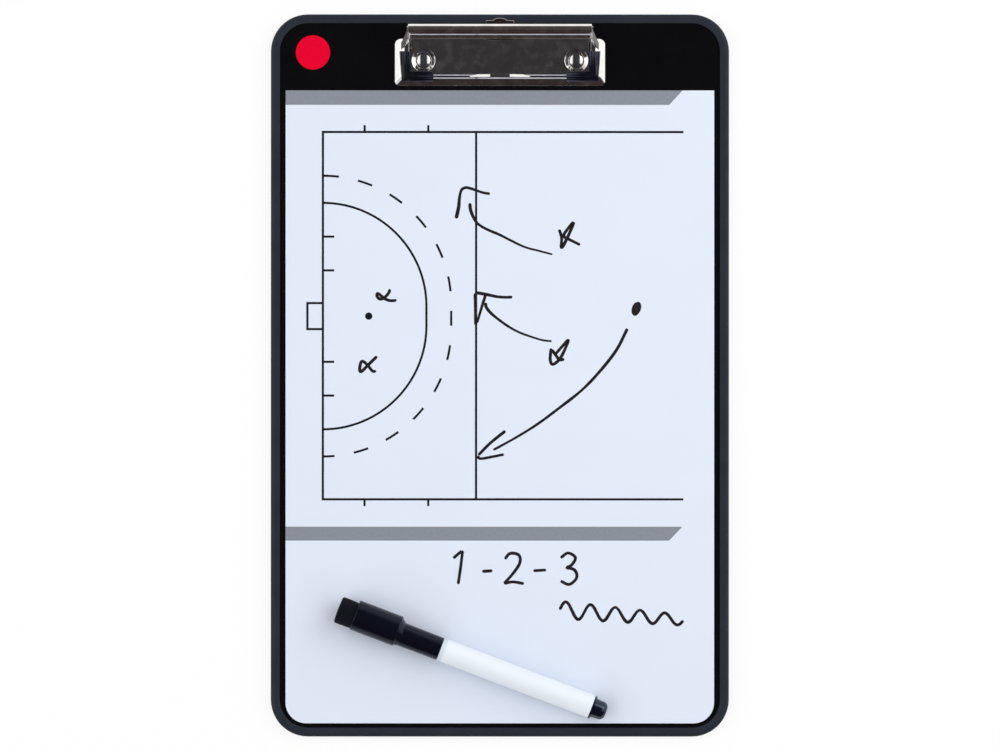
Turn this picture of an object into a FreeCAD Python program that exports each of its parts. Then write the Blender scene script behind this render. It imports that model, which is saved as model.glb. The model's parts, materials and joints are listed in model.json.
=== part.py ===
import FreeCAD
import Part
import math
import os

# Tactics board: a framed writing panel with a sprung paper clip, a hanging eyelet and a capped marker.
# Millimetres. X runs across the board, Y towards the clip, Z out of the writing face.
# The origin is the centre of the underside, so the board lies on its back at Z = 0.

# Board
board_length = 350.0
board_width = 222.0
board_corner = 18.0
rim_width = 4.4
rim_lip = 0.5
rim_grip = 2.0
rim_outer_round = 2.0
rim_inner_round = 0.3
panel_thickness = 3.0
panel_play = 0.05
sheet_thickness = 0.25
sheet_side_margin = 2.8
sheet_foot_margin = 2.1
sheet_jaw_gap = 2.1
sheet_corner = 10.0

# Rivets that hold the clip
rivet_shank = 4.0
rivet_head = 6.6
rivet_head_height = 0.57
rivet_tail = 7.0
rivet_tail_height = 0.7
rivet_play = 0.05
rivet_floor_gap = 0.3
rivet_inset = 6.2
rivet_setback = 14.8
washer_diameter = 10.0
washer_thickness = 0.5
dish_diameter = 11.3
dish_floor_diameter = 7.8

# Clip base plate and hinge
metal = 0.7
plate_width = 86.4
plate_front = 22.2
plate_back = 2.6
plate_bend = 0.7
pin_diameter = 2.5
pin_setback = 7.6
pin_head_diameter = 3.6
pin_head_length = 0.6
pin_play = 0.03
ear_side_gap = 0.5
ear_margin = 0.95
ear_share = 0.75

# Torsion springs on the hinge pin
spring_wire = 0.8
spring_coil_play = 0.25
spring_turns = 4
spring_turn_gap = 0.5
spring_clearance = 0.3
spring_inset = 9.2
spring_leave_angle = 150.0
spring_seat_leg = 2.2

# Clip bow: the jaw frame, the shoulders and the lever, pressed from one sheet
jaw_reach = 27.2
jaw_gap = 0.2
jaw_run = 4.2
side_run = 4.6
side_flange = 2.4
front_flange = 1.4
guard_tab = 1.0
hip_round = 4.0
jaw_bend = 0.8
arm_tail = 4.4
arm_round = 3.0
lip_half_width = 14.6
lip_top_half = 4.7
lip_height = 2.1
cover_lean = 14.0
cover_drop = 1.8
cover_rise = 1.8
lever_tilt = 41.5
lever_length = 5.35
lever_dish = 4.0
lever_inner_bend = 0.9
crease_tilt = 48.0
crease_run = 0.6
crease_round = 0.5
hem_fall = 50.0
hem_length = 2.0
hem_round = 0.4
foot_lip_out = 0.8
foot_lip_rise = 0.35
foot_lip_drop = 0.45
foot_lip_run = 0.55
foot_lip_tilt = 43.0
ridge_tilt = 48.0
ridge_run = 0.6
ridge_flat = 0.15
ridge_setback = 0.73
ridge_landing = 0.35
shoulder_inset = 3.1
shoulder_rise = 3.6
shoulder_front = 9.6
shoulder_depth = 3.2
shoulder_rake = 5.0
shoulder_flare = 2.0

# Corner guards on the jaw
guard_thickness = 0.9
guard_lip = 0.65
guard_lip_clear = 0.2
guard_seat_play = 0.05
guard_skirt = 0.5
guard_side_clear = 0.3
guard_length = 14.6
guard_width = 14.1
guard_front_inset = 2.2
guard_side_inset = 2.3
guard_taper = 1.1
guard_front_leg = 4.7
guard_grip = 1.4
rib_pitch = 1.1
rib_groove = 0.5
rib_depth = 0.3
rib_plain_side = 8.0
rib_plain_front = 1.3

# Hanging eyelet that slides out under the base plate
eyelet_width = 13.6
eyelet_ring = 12.0
eyelet_hole = 8.0
eyelet_reach = 5.9
eyelet_shoulder = 1.2
eyelet_chamfer = 0.35
eyelet_travel = 14.0
eyelet_tail_width = 24.0
eyelet_tail_length = 6.0
eyelet_gap = 0.1
eyelet_gate_play = 0.6
eyelet_notch_margin = 0.8

# Marker
marker_angle = -20.93
marker_mid_x = -13.5
marker_mid_above_foot = 30.4
marker_rest_gap = 0.08
barrel_diameter = 11.6
barrel_wall = 1.0
barrel_length = 76.2
collar_length = 2.0
collar_step = 0.2
front_spigot = 7.8
neck_length = 16.0
neck_diameter = 9.2
nose_length = 6.0
nose_diameter = 6.0
nib_diameter = 4.5
nib_reach = 5.0
nib_taper = 2.5
nib_point = 1.6
bore_play = 0.05
plug_flange = 1.0
plug_diameter = 9.4
plug_end_diameter = 8.6
plug_length = 6.5
plug_round = 2.6
plug_spigot = 7.5
reservoir_gap = 0.3
cap_wide_diameter = 15.1
cap_wide_length = 22.6
cap_wide_offset = 0.7
cap_wide_round = 0.6
cap_cone_length = 2.0
cap_narrow_length = 19.9
cap_mouth_diameter = 11.3
cap_root_diameter = 11.6
cap_gap = 0.2
seal_wall = 1.25
seal_overlap = 0.5
seal_floor = 1.0
seal_space = 3.4
eraser_length = 8.5
eraser_diameter = 13.3
eraser_offset = 0.3
eraser_round = 1.2
eraser_stub = 3.8
eraser_stub_diameter = 10.2
eraser_play = 0.1

# Heights of the board's layers
panel_bottom = rivet_floor_gap + rivet_tail_height + washer_thickness
panel_top = panel_bottom + panel_thickness
rim_height = panel_top + rim_lip
sheet_top = panel_top + sheet_thickness
half_length = board_length / 2
half_width = board_width / 2

# Heights and places of the clip
eyelet_bottom = rim_height + eyelet_gap
eyelet_top = eyelet_bottom + metal
plate_bottom = eyelet_top + eyelet_gap
plate_top = plate_bottom + metal
plate_half = plate_width / 2
spring_radius = pin_diameter / 2 + spring_coil_play + spring_wire / 2
spring_outer = spring_radius + spring_wire / 2
spring_x = plate_half - spring_inset
pin_y = half_length - pin_setback
pin_z = plate_top + spring_clearance + spring_outer
ear_radius = pin_diameter / 2 + ear_margin
bow_ear_inner = plate_half + ear_side_gap
lever_half = bow_ear_inner + metal
flange_bottom = plate_top + guard_lip_clear + guard_lip + guard_seat_play
bow_top = flange_bottom + metal
jaw_bottom = panel_top + jaw_gap
jaw_front = pin_y - jaw_reach
jaw_top_edge = jaw_front + jaw_run
window_half = plate_half + guard_side_clear + guard_skirt
window_front = jaw_top_edge + front_flange
bow_half = window_half + side_flange + side_run
bow_rise = bow_top - jaw_bottom
guard_start = window_half + side_flange - guard_width
window_back = window_front + guard_tab
arm_end = pin_y - arm_tail
rivet_x = plate_half - rivet_inset
rivet_y = pin_y - rivet_setback
rivet_seat = panel_top + metal
sheet_top_edge = jaw_front - sheet_jaw_gap

# Stations along the marker, from the eraser's end
cap_start = eraser_length
cap_wide_end = cap_start + cap_wide_length
cap_cone_end = cap_wide_end + cap_cone_length
cap_mouth = cap_cone_end + cap_narrow_length
collar_start = cap_mouth + cap_gap
barrel_start = collar_start + collar_length
barrel_end = barrel_start + barrel_length
plug_end = barrel_end + plug_flange + plug_length
neck_start = collar_start - neck_length
nose_start = neck_start - nose_length
nib_tip = nose_start - nib_reach
seal_mouth = nose_start + seal_overlap
seal_start = nib_tip - seal_space
barrel_radius = barrel_diameter / 2
barrel_bore = barrel_radius - barrel_wall
cap_bore = neck_diameter / 2 + bore_play


def vec(x, y, z):
    return FreeCAD.Vector(x, y, z)


def box(x0, x1, y0, y1, z0, z1):
    return Part.makeBox(x1 - x0, y1 - y0, z1 - z0, vec(x0, y0, z0))


def cylinder(radius, x, y, z0, z1):
    return Part.makeCylinder(radius, z1 - z0, vec(x, y, z0))


def x_cylinder(radius, x0, x1, y, z):
    return Part.makeCylinder(radius, x1 - x0, vec(x0, y, z), vec(1, 0, 0))


def mirrored(shape):
    return shape.mirror(vec(0, 0, 0), vec(1, 0, 0))


def rounded_plate(x_half, y0, y1, foot_round, head_round, z0, z1):
    """A flat plate with rounded corners at its foot (low Y) and its head (high Y)."""
    plate = box(-x_half, x_half, y0, y1, z0, z1)
    for corner_y, radius in ((y0, foot_round), (y1, head_round)):
        corners = [edge for edge in plate.Edges if is_upright_at(edge, corner_y)]
        if radius > 0:
            plate = plate.makeFillet(radius, corners)
    return plate


def is_upright_at(edge, y):
    span = edge.BoundBox
    return span.ZLength > 1e-6 and span.XLength < 1e-6 and abs(span.Center.y - y) < 1e-6


def prism_yz(points, x0, x1):
    """A prism along X over a closed outline of (y, z) points."""
    wire = Part.makePolygon([vec(x0, y, z) for y, z in points + points[:1]])
    return Part.Face(wire).extrude(vec(x1 - x0, 0, 0))


def prism_xz(points, y0, y1):
    """A prism along Y over a closed outline of (x, z) points."""
    wire = Part.makePolygon([vec(x, y0, z) for x, z in points + points[:1]])
    return Part.Face(wire).extrude(vec(0, y1 - y0, 0))


def prism_xy(points, z0, z1):
    """A prism along Z over a closed outline of (x, y) points."""
    wire = Part.makePolygon([vec(x, y, z0) for x, y in points + points[:1]])
    return Part.Face(wire).extrude(vec(0, 0, z1 - z0))


def turned(points, x=0.0, y=0.0):
    """A turned solid about an upright axis at (x, y) from (radius, z) points."""
    wire = Part.makePolygon([vec(x + r, y, z) for r, z in points + points[:1]])
    return Part.Face(wire).revolve(vec(x, y, 0), vec(0, 0, 1), 360)


def fused(shapes):
    """One solid from overlapping shapes, with its split faces joined."""
    whole = shapes[0].multiFuse(shapes[1:]).removeSplitter()
    return whole.Solids[0] if len(whole.Solids) == 1 else whole


def edges_along_x(shape, y, z):
    """Edges parallel to X at one (y, z) place."""
    found = []
    for edge in shape.Edges:
        span = edge.BoundBox
        flat = span.YLength < 1e-6 and span.ZLength < 1e-6
        if flat and abs(span.Center.y - y) < 1e-4 and abs(span.Center.z - z) < 1e-4:
            found.append(edge)
    return found


def is_level_within(edge, z, x_half, y_half):
    """True for a level edge at height z that stays inside a centred rectangle."""
    middle = edge.valueAt((edge.FirstParameter + edge.LastParameter) / 2)
    level = abs(edge.BoundBox.ZMin - z) < 1e-6 and edge.BoundBox.ZLength < 1e-6
    return level and abs(middle.x) < x_half + 1e-6 and abs(middle.y) < y_half + 1e-6


def is_level_before(edge, z, y):
    """True for a level edge at height z that starts in front of y."""
    span = edge.BoundBox
    return span.ZMin > z - 1e-6 and span.YMin < y - 1e-6


# Board

def edge_frame():
    """Soft rim moulded round the panel, with a groove that holds the panel's edge."""
    ring = rounded_plate(half_width, -half_length, half_length, board_corner, board_corner, 0, rim_height)
    outer_top = [edge for edge in ring.Edges if abs(edge.BoundBox.ZMin - rim_height) < 1e-6]
    ring = ring.makeFillet(rim_outer_round, outer_top)
    outer_bottom = [edge for edge in ring.Edges if edge.BoundBox.ZMax < 1e-6]
    ring = ring.makeFillet(rim_inner_round, outer_bottom)
    inner_x = half_width - rim_width
    inner_y = half_length - rim_width
    inner_corner = board_corner - rim_width
    ring = ring.cut(rounded_plate(inner_x, -inner_y, inner_y, inner_corner, inner_corner, 0, rim_height))
    inner_top = [edge for edge in ring.Edges if is_level_within(edge, rim_height, inner_x, inner_y)]
    ring = ring.makeFillet(rim_inner_round, inner_top)
    groove = rounded_plate(inner_x + rim_grip, -inner_y - rim_grip, inner_y + rim_grip,
                           inner_corner + rim_grip, inner_corner + rim_grip, panel_bottom, panel_top)
    return ring.cut(groove)


def rivet_places():
    return [(-rivet_x, rivet_y), (rivet_x, rivet_y)]


def board_core():
    """Stiff black panel, drilled for the two rivets."""
    reach = rim_grip - rim_width - panel_play
    corner = board_corner + reach
    panel = rounded_plate(half_width + reach, -half_length - reach, half_length + reach,
                          corner, corner, panel_bottom, panel_top)
    for x, y in rivet_places():
        panel = panel.cut(cylinder(rivet_shank / 2 + rivet_play, x, y, panel_bottom, panel_top))
    return panel


def sheet_edges():
    """Half width, foot and head of the writing sheet."""
    x_half = half_width - rim_width - sheet_side_margin
    foot = -half_length + rim_width + sheet_foot_margin
    return x_half, foot, sheet_top_edge


def writing_sheet():
    """Thin white film on the panel, square at the clip end."""
    x_half, foot, head = sheet_edges()
    return rounded_plate(x_half, foot, head, sheet_corner, 0, panel_top, sheet_top)


# Clip base

def clip_base_plate():
    """Raised plate with flanges front and rear, a notch over the eyelet, rivet dishes and hinge ears."""
    front = pin_y - plate_front
    back = pin_y + plate_back
    plate = box(-plate_half, plate_half, front, back, panel_top, plate_top)
    bends = edges_along_x(plate, front, plate_top) + edges_along_x(plate, back, plate_top)
    plate = plate.makeFillet(plate_bend, bends)
    plate = plate.cut(box(-plate_half, plate_half, front + metal, back - metal, panel_top, plate_bottom))
    gate = eyelet_width / 2 + eyelet_gate_play
    hole_front = pin_y + eyelet_reach - eyelet_ring / 2 - eyelet_hole / 2
    plate = plate.cut(box(-gate, gate, hole_front - eyelet_notch_margin, back, panel_top, plate_top))
    dish_top = dish_diameter / 2
    dish_floor = dish_floor_diameter / 2
    hole = rivet_shank / 2 + rivet_play
    outline = [(hole, panel_top), (dish_floor + metal / 2, panel_top), (dish_top + metal, plate_bottom),
               (dish_top + metal, plate_top), (dish_top, plate_top), (dish_floor, rivet_seat),
               (hole, rivet_seat)]
    within = box(-plate_half, plate_half, front, back, panel_top, plate_top)
    pieces = [plate]
    for x, y in rivet_places():
        pieces[0] = pieces[0].cut(cylinder(dish_top, x, y, panel_top, plate_top))
        pieces.append(turned(outline, x, y).common(within))
    for side in (-1, 1):
        x0 = min(side * plate_half, side * (plate_half - metal))
        ear = x_cylinder(ear_radius, x0, x0 + metal, pin_y, pin_z)
        web = box(x0, x0 + metal, pin_y - ear_radius, pin_y + ear_radius, plate_bottom, pin_z)
        pieces.append(ear.fuse(web))
    plate = fused(pieces)
    return plate.cut(x_cylinder(pin_diameter / 2 + pin_play, -plate_half, plate_half, pin_y, pin_z))


def rivet(x, y):
    """Domed rivet from the dish, through the panel, to a flat tail at the back."""
    head_radius = rivet_head / 2
    tail_bottom = rivet_floor_gap
    tail_top = tail_bottom + rivet_tail_height
    dome_radius = (head_radius ** 2 + rivet_head_height ** 2) / (2 * rivet_head_height)
    dome = Part.makeSphere(dome_radius, vec(x, y, rivet_seat + rivet_head_height - dome_radius))
    head = dome.common(cylinder(head_radius, x, y, rivet_seat, rivet_seat + rivet_head_height))
    shank = cylinder(rivet_shank / 2, x, y, tail_bottom, rivet_seat)
    tail = cylinder(rivet_tail / 2, x, y, tail_bottom, tail_top)
    return fused([head, shank, tail])


def rivet_washers():
    """Two flat washers between the rivet tails and the back of the panel."""
    rings = []
    for x, y in rivet_places():
        bottom = panel_bottom - washer_thickness
        ring = cylinder(washer_diameter / 2, x, y, bottom, panel_bottom)
        rings.append(ring.cut(cylinder(rivet_shank / 2 + rivet_play, x, y, bottom, panel_bottom)))
    return Part.makeCompound(rings)


def hinge_pin():
    """Straight pin through both pairs of ears, headed outside the bow's ears."""
    outside = lever_half + pin_play
    ends = outside + pin_head_length
    pin = x_cylinder(pin_diameter / 2, -ends, ends, pin_y, pin_z)
    heads = [x_cylinder(pin_head_diameter / 2, outside, ends, pin_y, pin_z),
             x_cylinder(pin_head_diameter / 2, -ends, -outside, pin_y, pin_z)]
    return fused([pin] + heads)


# Torsion springs

def hinge_point(x, dy, dz):
    return vec(x, pin_y + dy, pin_z + dz)


def cover_normal():
    lean = math.radians(cover_lean)
    return -math.cos(lean), math.sin(lean)


def lever_normal():
    tilt = math.radians(lever_tilt)
    return -math.sin(tilt), math.cos(tilt)


def cover_point(along):
    """Front surface of the hinge cover, as an offset (y, z) from the pin's axis."""
    lean = math.radians(cover_lean)
    distance = spring_outer + spring_clearance + metal
    ny, nz = cover_normal()
    return distance * ny + along * math.sin(lean), distance * nz + along * math.cos(lean)


def biarc(start, start_way, end, end_way):
    """Two arcs that leave start and reach end along the given unit directions."""
    chord = end - start
    ways = start_way + end_way
    fold = 2 * (1 - start_way.dot(end_way))
    reach = (-chord.dot(ways) + math.sqrt(chord.dot(ways) ** 2 + fold * chord.dot(chord))) / fold
    corner_a = start + start_way * reach
    corner_b = end - end_way * reach
    middle = (corner_a + corner_b) * 0.5
    return [arc_by_corner(start, corner_a, middle), arc_by_corner(middle, corner_b, end)]


def arc_by_corner(start, corner, end):
    """The arc from start to end whose end tangents meet at corner."""
    centre_of_chord = (start + end) * 0.5
    half_chord = (end - start).Length / 2
    rise = (corner - centre_of_chord).Length
    lean = math.atan2(rise, half_chord)
    crest = centre_of_chord + (corner - centre_of_chord) * (half_chord * math.tan(lean / 2) / rise)
    return Part.Arc(start, crest, end).toShape()


def coil_point(x_middle, share, sweep, pitch):
    """Place and unit direction on the coil, from its seat end (share 0) to its lever end (share 1)."""
    angle = math.radians(270 - share * sweep)
    x = x_middle + (share - 0.5) * pitch * sweep / 360
    place = hinge_point(x, spring_radius * math.cos(angle), spring_radius * math.sin(angle))
    way = vec(pitch / (2 * math.pi), spring_radius * math.sin(angle), -spring_radius * math.cos(angle))
    return place, way.normalize()


def torsion_spring(x_middle):
    """Coil round the hinge pin, one leg along the base plate and one up to the lever."""
    pitch = spring_wire + spring_turn_gap
    sweep = 360 * spring_turns + 270 - spring_leave_angle
    spans = math.ceil(sweep / 90)
    coil = [coil_point(x_middle, step / spans, sweep, pitch) for step in range(spans + 1)]
    first, first_way = coil[0]
    last, last_way = coil[-1]
    ny, nz = lever_normal()
    bend_y, bend_z = cover_point(cover_rise)
    lever_underside = bend_y * ny + bend_z * nz - metal
    lift = lever_underside - spring_clearance - spring_wire / 2
    leg_start = (last.y - pin_y) * ny + (last.z - pin_z) * nz
    leg_length = (lift - leg_start) / (last_way.y * ny + last_way.z * nz)
    foot = first - first_way * spring_seat_leg
    edges = [Part.LineSegment(foot, first).toShape()]
    for (start, start_way), (end, end_way) in zip(coil[:-1], coil[1:]):
        edges.extend(biarc(start, start_way, end, end_way))
    edges.append(Part.LineSegment(last, last + last_way * leg_length).toShape())
    path = Part.Wire(edges)
    section = Part.Wire(Part.makeCircle(spring_wire / 2, foot, first_way))
    spring = path.makePipeShell([section], True, False)
    print_self_gap(path, spring)
    return spring


def print_self_gap(path, spring):
    """Print the least gap between the turns, and the volume against section times length."""
    points = path.discretize(Distance=spring_wire / 4)
    apart = int(spring_radius * math.pi / (spring_wire / 4))
    least = min(a.distanceToPoint(b) for i, a in enumerate(points) for b in points[i + apart:])
    ideal = math.pi * spring_wire ** 2 / 4 * path.Length
    print("spring self gap %.2f mm, volume ratio %.4f" % (least - spring_wire, spring.Volume / ideal))


# Clip bow

def frustum(grow):
    """The jaw's outer form, grown outwards by a normal distance."""
    side_slope = math.atan2(bow_rise, side_run)
    front_slope = math.atan2(bow_rise, jaw_run)
    top = bow_top + grow
    lift = top - jaw_bottom
    x_low = bow_half + grow / math.sin(side_slope)
    x_high = x_low - lift * side_run / bow_rise
    y_low = jaw_front - grow / math.sin(front_slope)
    y_high = y_low + lift * jaw_run / bow_rise
    form = frustum_between(x_low, y_low, jaw_bottom, x_high, y_high, top, hip_round + grow)
    tops = [edge for edge in form.Edges if is_level_before(edge, top, arm_end)]
    return form.makeFillet(jaw_bend + grow, tops)


def level_frame(x_half, y_front, z):
    """Closed rectangle at one height, from the jaw's front to the arms' ends."""
    corners = [(-x_half, y_front), (x_half, y_front), (x_half, arm_end), (-x_half, arm_end)]
    return Part.makePolygon([vec(x, y, z) for x, y in corners + corners[:1]])


def frustum_between(x_low, y_low, z_low, x_high, y_high, z_high, rounding):
    """Sloped block between two level rectangles, with its two front hips rounded."""
    wires = [level_frame(x_low, y_low, z_low), level_frame(x_high, y_high, z_high)]
    solid = Part.makeLoft(wires, True, True)
    hips = [edge for edge in solid.Edges if is_hip(edge, y_low, y_high, z_low, z_high)]
    return solid.makeFillet(rounding, hips)


def is_hip(edge, y_low, y_high, z_low, z_high):
    span = edge.BoundBox
    tall = abs(span.ZMin - z_low) < 1e-6 and abs(span.ZMax - z_high) < 1e-6
    return tall and abs(span.YMin - y_low) < 1e-6 and abs(span.YMax - y_high) < 1e-6


def hollow_under():
    """The space under the jaw's sheet, open at the foot and the rear."""
    side_inset = metal / math.sin(math.atan2(bow_rise, side_run))
    front_inset = metal / math.sin(math.atan2(bow_rise, jaw_run))
    lift = flange_bottom - jaw_bottom
    x_low = bow_half - side_inset
    y_low = jaw_front + front_inset
    x_high = x_low - lift * side_run / bow_rise
    y_high = y_low + lift * jaw_run / bow_rise
    return frustum_between(x_low, y_low, jaw_bottom, x_high, y_high, flange_bottom, hip_round - metal)


def jaw_frame():
    """Sloped front and sides with a turned-in flange round the window."""
    frame = frustum(0).cut(hollow_under())
    frame = frame.cut(box(-window_half, window_half, window_back, arm_end, jaw_bottom, bow_top))
    frame = frame.cut(box(-guard_start, guard_start, window_front, window_back, jaw_bottom, bow_top))
    round_x = bow_half - arm_round
    round_y = arm_end - arm_round
    corner = box(round_x, bow_half, round_y, arm_end, jaw_bottom, bow_top)
    corner = corner.cut(cylinder(arm_round, round_x, round_y, jaw_bottom, bow_top))
    return frame.cut(corner).cut(mirrored(corner))


def front_lip():
    """Raised tongue at the middle of the front flange, with sloped ends."""
    base = bow_top - metal / 2
    crest = bow_top + lip_height
    outline = [(-lip_half_width, base), (lip_half_width, base), (lip_half_width, bow_top),
               (lip_top_half, crest), (-lip_top_half, crest), (-lip_half_width, bow_top)]
    return prism_xz(outline, jaw_top_edge, window_front)


def flange_ridges():
    """Two low ridges along the front flange: one over its bend, one along its rear edge."""
    reach = guard_start - guard_seat_play
    rise = ridge_run * math.tan(math.radians(ridge_tilt))
    base = bow_top - metal / 2
    start = jaw_top_edge - ridge_setback
    landing = jaw_top_edge + ridge_landing
    low = bow_top - ridge_setback * bow_rise / jaw_run
    over_bend = [(start, low), (start + ridge_run, low + rise), (landing, bow_top), (landing, base),
                 (jaw_top_edge, base)]
    crest = window_front - ridge_flat
    at_edge = [(crest - ridge_run, bow_top), (crest, bow_top + rise), (window_front, bow_top + rise),
               (window_front, base), (crest - ridge_run, base)]
    return [prism_yz(outline, -reach, reach) for outline in (over_bend, at_edge)]


def lever_outline():
    """Offsets (y, z) from the pin: cover foot, crease, peak and hem outside, then back along the inside."""
    lean = math.radians(cover_lean)
    tilt = math.radians(lever_tilt)
    crease = math.radians(crease_tilt)
    cover_ny, cover_nz = cover_normal()
    lever_ny, lever_nz = lever_normal()
    foot_along = -cover_drop / math.cos(lean)
    foot = cover_point(foot_along)
    bend = cover_point(cover_rise)
    peak = bend[0] + lever_length * math.cos(tilt), bend[1] + lever_length * math.sin(tilt)
    low_turn = math.pi / 2 - lean - crease
    high_turn = crease - tilt
    share = crease_run / math.cos(crease) / math.sin(low_turn + high_turn)
    crease_low = cover_point(cover_rise - share * math.sin(high_turn))
    past = share * math.sin(low_turn)
    crease_high = bend[0] + past * math.cos(tilt), bend[1] + past * math.sin(tilt)
    fall = math.radians(hem_fall)
    hem_end = peak[0] + hem_length * math.cos(fall), peak[1] - hem_length * math.sin(fall)
    hem_inner = hem_end[0] - metal * math.sin(fall), hem_end[1] - metal * math.cos(fall)
    mitre = metal / (1 + lever_ny * math.sin(fall) + lever_nz * math.cos(fall))
    inner_peak = (peak[0] - mitre * (lever_ny + math.sin(fall)),
                  peak[1] - mitre * (lever_nz + math.cos(fall)))
    half_turn = (math.pi / 2 - lean - tilt) / 2
    inner = metal * math.tan(half_turn)
    back_foot = foot[0] - metal * cover_ny, foot[1] - metal * cover_nz
    back_bend = (bend[0] - metal * cover_ny - inner * math.sin(lean),
                 bend[1] - metal * cover_nz - inner * math.cos(lean))
    return foot, crease_low, crease_high, peak, hem_end, hem_inner, inner_peak, back_bend, back_foot


def at_pin(points):
    return [(pin_y + dy, pin_z + dz) for dy, dz in points]


def dished(start, end):
    """The lever's thumb face in section: an arc that sags below its chord."""
    ny, nz = lever_normal()
    sag = (end - start).Length / 2 * math.tan(math.radians(lever_dish) / 4)
    return Part.Arc(start, (start + end) * 0.5 - vec(0, ny, nz) * sag, end).toShape()


def foot_lip(foot):
    """Folded lip along the cover's foot, with a sloped front edge."""
    y = pin_y + foot[0]
    front = y - foot_lip_out
    back = y + metal / 2
    top = pin_z + foot[1] + foot_lip_rise
    bottom = pin_z + foot[1] - foot_lip_drop
    slope_foot = top - foot_lip_run * math.tan(math.radians(foot_lip_tilt))
    outline = [(front, bottom), (front, slope_foot), (front + foot_lip_run, top), (back, top), (back, bottom)]
    return prism_yz(outline, -lever_half, lever_half)


def lever():
    """Hinge cover and thumb lever, bent from one strip, with a crease, a folded hem and a lipped foot."""
    outline = lever_outline()
    foot, crease_low, crease_high, peak, hem_end, hem_inner, inner_peak, back_bend, back_foot = outline
    corners = [vec(-lever_half, y, z) for y, z in at_pin(outline)]
    edges = [Part.LineSegment(a, b).toShape() for a, b in zip(corners, corners[1:] + corners[:1])]
    face = outline.index(crease_high)
    edges[face] = dished(corners[face], corners[face + 1])
    strip = Part.Face(Part.Wire(edges)).extrude(vec(2 * lever_half, 0, 0))
    for radius, (dy, dz) in ((crease_round, crease_low), (lever_inner_bend, back_bend), (hem_round, peak)):
        strip = strip.makeFillet(radius, edges_along_x(strip, pin_y + dy, pin_z + dz))
    return fused([strip, foot_lip(foot)])


def bow_ear():
    """Upright ear under the lever's right end, drilled for the pin."""
    outline = lever_outline()
    foot, crease_low, crease_high, peak, hem_end, hem_inner, inner_peak, back_bend, back_foot = outline
    top_front = (crease_low[0] + back_bend[0]) / 2, (crease_low[1] + back_bend[1]) / 2
    top_back = tuple(near + ear_share * (far - near) for near, far in zip(crease_high, inner_peak))
    section = at_pin([(-ear_radius, 0), (ear_radius, 0), top_back, top_front])
    web = prism_yz(section, bow_ear_inner, lever_half)
    return web.fuse(x_cylinder(ear_radius, bow_ear_inner, lever_half, pin_y, pin_z))


def shoulder():
    """Leaning web from the right arm of the jaw up to the lever's end."""
    foot_x = bow_half - shoulder_inset
    foot_z = jaw_bottom + shoulder_inset * bow_rise / side_run
    top_z = pin_z + shoulder_rise
    width = metal / math.cos(math.atan2(foot_x - lever_half, top_z - foot_z))
    section = [(foot_x, foot_z), (lever_half, top_z), (lever_half - width, top_z), (foot_x - width, foot_z)]
    front = pin_y - shoulder_front
    back = front + shoulder_depth
    rake = shoulder_rake
    outline = [(front, foot_z), (back, foot_z), (back + rake + shoulder_flare, top_z), (front + rake, top_z)]
    web = prism_xz(section, front, back + rake + shoulder_flare)
    return web.common(prism_yz(outline, lever_half - width, foot_x))


def clip_bow():
    """Jaw frame, shoulders and lever as one pressed piece."""
    ear = bow_ear()
    web = shoulder()
    ridges = flange_ridges()
    bow = fused([jaw_frame(), front_lip(), lever(), ear, mirrored(ear), web, mirrored(web)] + ridges)
    hole = x_cylinder(pin_diameter / 2 + pin_play, -lever_half, lever_half, pin_y, pin_z)
    return bow.cut(hole)


# Corner guards

def corner_guard(bow):
    """Ribbed black guard that clips over the jaw's right corner."""
    front = jaw_front + guard_front_inset
    back = front + guard_length
    inner = window_half - guard_skirt
    start = guard_start
    outer = bow_half - guard_side_inset
    leg_back = front + guard_front_leg
    lip_top = flange_bottom - guard_seat_play
    low = lip_top - guard_lip
    top = bow_top + guard_thickness
    lip_outer = window_half + guard_grip
    lip_front = leg_back - guard_skirt - guard_grip
    plan = [(start, front), (outer - guard_taper, front), (outer, back),
            (inner, back), (inner, leg_back), (start, leg_back)]
    cover = prism_xy(plan, jaw_bottom, top).common(frustum(guard_thickness)).cut(frustum(0))
    skirts = [box(inner, window_half, window_back, back, low, top),
              box(start, window_half, window_back, leg_back, low, top)]
    lips = [box(inner, lip_outer, window_back, back, low, lip_top),
            box(start, lip_outer, lip_front, leg_back, low, lip_top)]
    guard = fused([cover] + skirts + lips).cut(bow)
    skin = frustum(guard_thickness).cut(frustum(guard_thickness - rib_depth))
    front_end = inner - rib_plain_front
    side_front = front + rib_plain_side
    for step in range(int(guard_front_leg / rib_pitch)):
        y = front + (step + 0.5) * rib_pitch
        guard = guard.cut(box(start, front_end, y, y + rib_groove, jaw_bottom, top).common(skin))
    for step in range(int((outer - inner) / rib_pitch)):
        x = inner + (step + 0.5) * rib_pitch
        guard = guard.cut(box(x, x + rib_groove, side_front, back, jaw_bottom, top).common(skin))
    return guard


def is_tip_edge(edge, tip):
    """True for the upper edges round the eyelet's outer end."""
    span = edge.BoundBox
    return span.ZMin > eyelet_top - 1e-6 and span.YMin > tip - eyelet_shoulder - 1e-6


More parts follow.
